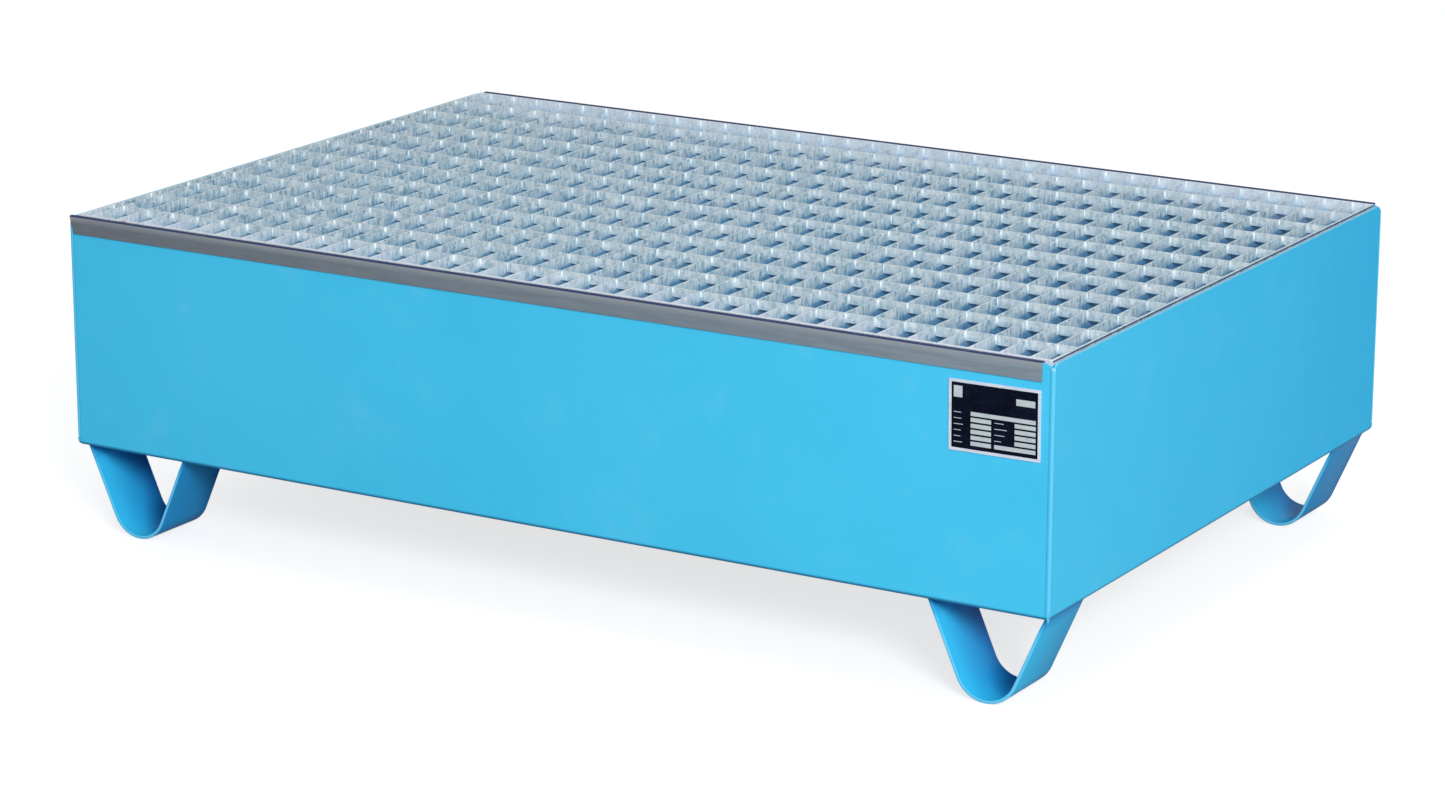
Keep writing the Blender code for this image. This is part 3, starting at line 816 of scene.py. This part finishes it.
def make_ledge_welds(material):
    """Stitch welds that hold the ledge frame to the walls."""
    bm = bmesh.new()
    wall_x, wall_y = TRAY_HIGH.x - SHEET, TRAY_HIGH.y - SHEET
    for axis, half in enumerate((wall_x, wall_y)):
        count = STITCH_COUNTS[axis]
        spread = 2 * half - STITCH_MARGIN
        for k in range(count):
            middle = -spread / 2 + spread * k / (count - 1)
            for side in (-1, 1):
                start = [0, 0, LEDGE_TOP]
                start[axis] = middle - STITCH_LENGTH / 2
                start[1 - axis] = side * (wall_y if axis == 0 else wall_x)
                along = [0, 0, 0]
                along[axis] = 1
                inward = [0, 0, 0]
                inward[1 - axis] = -side
                add_stitch(bm, start, along, inward, STITCH_LENGTH, STITCH_LEG)
    new_piece("grating_ledge_welds", bm, material, "root", smooth_angle=60)


def make_tray(paint, small_paint, welds, metal):
    soften_edges(NODES["sump_tray"], 0.0007, paint, segments=3)
    soften_edges(NODES["grating_ledge_frame"], 0.0005, small_paint)
    make_feet(small_paint)
    for name in CORNER_WELDS:
        make_corner_bead(name, welds)
    make_ledge_welds(welds)
    make_rails(metal)


# ---- the rating plate ---------------------------------------------------------------------------------
class PlateFace:
    """Puts points given across, up and out from the plate's middle on the tilted plate."""

    def __init__(self):
        self.back = PLATE_HIGH.y
        middle = (PLATE_LOW + PLATE_HIGH) / 2
        self.turn = Matrix.Translation((middle.x, self.back, middle.z)) @ Matrix.Rotation(PLATE_TILT, 4, "Y")

    def ring(self, outline, out, across=0.0, up=0.0):
        return [self.turn @ Vector((across + u, -out, up + v)) for u, v in outline]

    def slab(self, bm, width, height, radius, low, high, across=0.0, up=0.0):
        """A flat block with round corners and a small chamfer at the front."""
        edge = min(0.00006, (high - low) / 2)
        outer = rounded_rectangle(width, height, radius)
        inner = rounded_rectangle(width - 2 * edge, height - 2 * edge, max(radius - edge, 0.00005))
        loft(bm, [self.ring(outer, low, across, up), self.ring(outer, high - edge, across, up),
                  self.ring(inner, high, across, up)])


def make_plate():
    face = PlateFace()
    width, height = PLATE_SIZE
    front, floor = PLATE_FRONT, PLATE_FLOOR
    lip, edge = PLATE_BORDER, PLATE_EASE

    bm = bmesh.new()
    outer = rounded_rectangle(width, height, PLATE_CORNER)
    eased = rounded_rectangle(width - 2 * edge, height - 2 * edge, PLATE_CORNER - edge)
    inner = rounded_rectangle(width - 2 * lip, height - 2 * lip, PLATE_INNER_CORNER)
    loft(bm, [face.ring(outer, 0.0), face.ring(outer, front - edge), face.ring(eased, front),
              face.ring(inner, front), face.ring(inner, floor)])
    body = new_piece("rating_plate_body", bm, plate_metal(), "root", smooth_angle=30)
    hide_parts("rating_plate")

    bm = bmesh.new()
    margin = 2 * lip + PANEL_GAP
    face.slab(bm, width - margin, height - margin, PLATE_INNER_CORNER, floor, front - PLATE_EASE)
    new_piece("rating_plate_panel", bm, plate_print(), "root", smooth_angle=30)

    # Blank fields as shares of the plate's width and height: left, right, top, bottom.
    row, step, first = FIELD_ROW, FIELD_STEP, FIELD_TOP
    fields = [(0.242, 0.947, 0.430, 0.430 + row)]
    fields += [(0.242, 0.465, first + step * k, first + step * k + row) for k in range(5)]
    fields += [(0.720, 0.947, first + step * k, first + step * k + row) for k in range(4)]
    fields += [(0.500, 0.947, first + step * 4, first + step * 4 + row)]
    fields += [(0.735, 0.940, 0.165, 0.255)]
    fields += [(0.055, 0.150, 0.090, 0.250)]
    bm = bmesh.new()
    for left, right, top, bottom in fields:
        face.slab(
            bm, (right - left) * width, (bottom - top) * height, 0.0003, front - FIELD_BACK, front,
            ((left + right) / 2 - 0.5) * width, (0.5 - (top + bottom) / 2) * height,
        )
    new_piece("rating_plate_fields", bm, plate_field(), "root", smooth_angle=30)

    # Plain thin bars stand where each field's caption would be.
    bm = bmesh.new()
    rows = [(0.055, first + step * k) for k in range(-1, 5)]
    rows += [(0.500, first + step * k) for k in range(4)]
    for left, top in rows:
        length = RNG.uniform(0.07, 0.14)
        face.slab(
            bm, length * width, 0.0007, 0.00015, front - FIELD_BACK, front - 0.00004,
            (left + length / 2 - 0.5) * width, (0.5 - top - row / 2) * height,
        )
    new_piece("rating_plate_caption_bars", bm, plate_field(), "root", smooth_angle=30)


# ---- the grating --------------------------------------------------------------------------------------
def middle_of(name, axis):
    low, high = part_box(name)
    return (low[axis] + high[axis]) / 2


def add_zinc_corner(bm, x, y, sx, sy, leg, low, high):
    """A hollow-faced fillet up the corner between two bars, tapering to a run at its foot."""
    section = ((-EMBED, -EMBED), (leg, -EMBED), (leg * 0.34, leg * 0.34), (-EMBED, leg))
    stations = (
        (low, 0.25),
        (low + 0.0025, 0.85),
        (high - 0.0045, 1.05),
        (high - 0.0015, 0.95),
        (high, 0.5),
    )
    rings = []
    for z, size in stations:
        rings.append([(x + sx * u * size, y + sy * v * size, z) for u, v in section])
    loft(bm, rings)


def make_zinc_fillets(material):
    """Zinc caught where bars cross, and the welds of every bar's end to the border."""
    top = GRATING_HIGH.z - 0.0003
    bar_x = [middle_of(name, 0) for name in BEARING_BARS]
    cross_y = [middle_of(name, 1) for name in CROSS_BARS]
    inside_x = GRATING_HIGH.x - BORDER_THICK
    inside_y = GRATING_HIGH.y - BORDER_THICK
    sides = [(sx, sy) for sx in (-1, 1) for sy in (-1, 1)]

    bm = bmesh.new()
    for x in bar_x:
        for y in cross_y:
            for sx, sy in sides:
                leg = ZINC_LEG * RNG.uniform(0.7, 1.25)
                low = top - CROSS_HEIGHT + RNG.uniform(0.0002, 0.0030)
                add_zinc_corner(bm, x + sx * BAR_HALF, y + sy * BAR_HALF, sx, sy, leg, low, top)
    new_piece("grating_zinc_fillets", bm, material, "grating", smooth_angle=35)

    bm = bmesh.new()
    for x in bar_x:
        for sx, sy in sides:
            leg = ZINC_LEG * RNG.uniform(0.9, 1.4)
            low = top - RNG.uniform(0.016, 0.026)
            add_zinc_corner(bm, x + sx * BAR_HALF, sy * inside_y, sx, -sy, leg, low, top)
    for y in cross_y:
        for sx, sy in sides:
            leg = ZINC_LEG * RNG.uniform(0.9, 1.3)
            add_zinc_corner(bm, sx * inside_x, y + sy * BAR_HALF, -sx, sy, leg, top - CROSS_HEIGHT, top)
    new_piece("grating_border_welds", bm, material, "grating", smooth_angle=35)


def make_zinc_drips(material):
    """Drops that froze on the bars' lower edges."""
    bm = bmesh.new()
    for _ in range(DRIP_COUNT):
        x = middle_of(RNG.choice(BEARING_BARS), 0)
        y = RNG.uniform(GRATING_LOW.y + DRIP_CLEARANCE, GRATING_HIGH.y - DRIP_CLEARANCE)
        length = RNG.uniform(0.0012, 0.0030)
        width = RNG.uniform(0.0014, 0.0026)
        profile = ((-0.0008, 0.7), (0.0, 1.0), (0.5 * length, 0.62), (0.85 * length, 0.42), (length, 0.14))
        rings = []
        for down, size in profile:
            rings.append([
                (x + DRIP_HALF * size * math.cos(a), y + width * size * math.sin(a), GRATING_LOW.z - down)
                for a in [2 * math.pi * k / 8 for k in range(8)]
            ])
        if abs(x) < GRATING_HIGH.x - DRIP_CLEARANCE:
            loft(bm, rings)
    new_piece("grating_zinc_drips", bm, material, "grating", smooth_angle=60)


def make_grating(zinc, bright):
    soften_edges(NODES["grating_border_frame"], 0.0004, zinc)
    for name in BEARING_BARS + CROSS_BARS:
        soften_edges(NODES[name], 0.0003, zinc)
    make_zinc_fillets(bright)
    make_zinc_drips(bright)


def main():
    make_camera()
    make_stage()
    make_tray(tray_paint(), part_paint(), bead_paint(), bare_steel())
    make_plate()
    make_grating(galvanised_steel(), bright_zinc())


main()
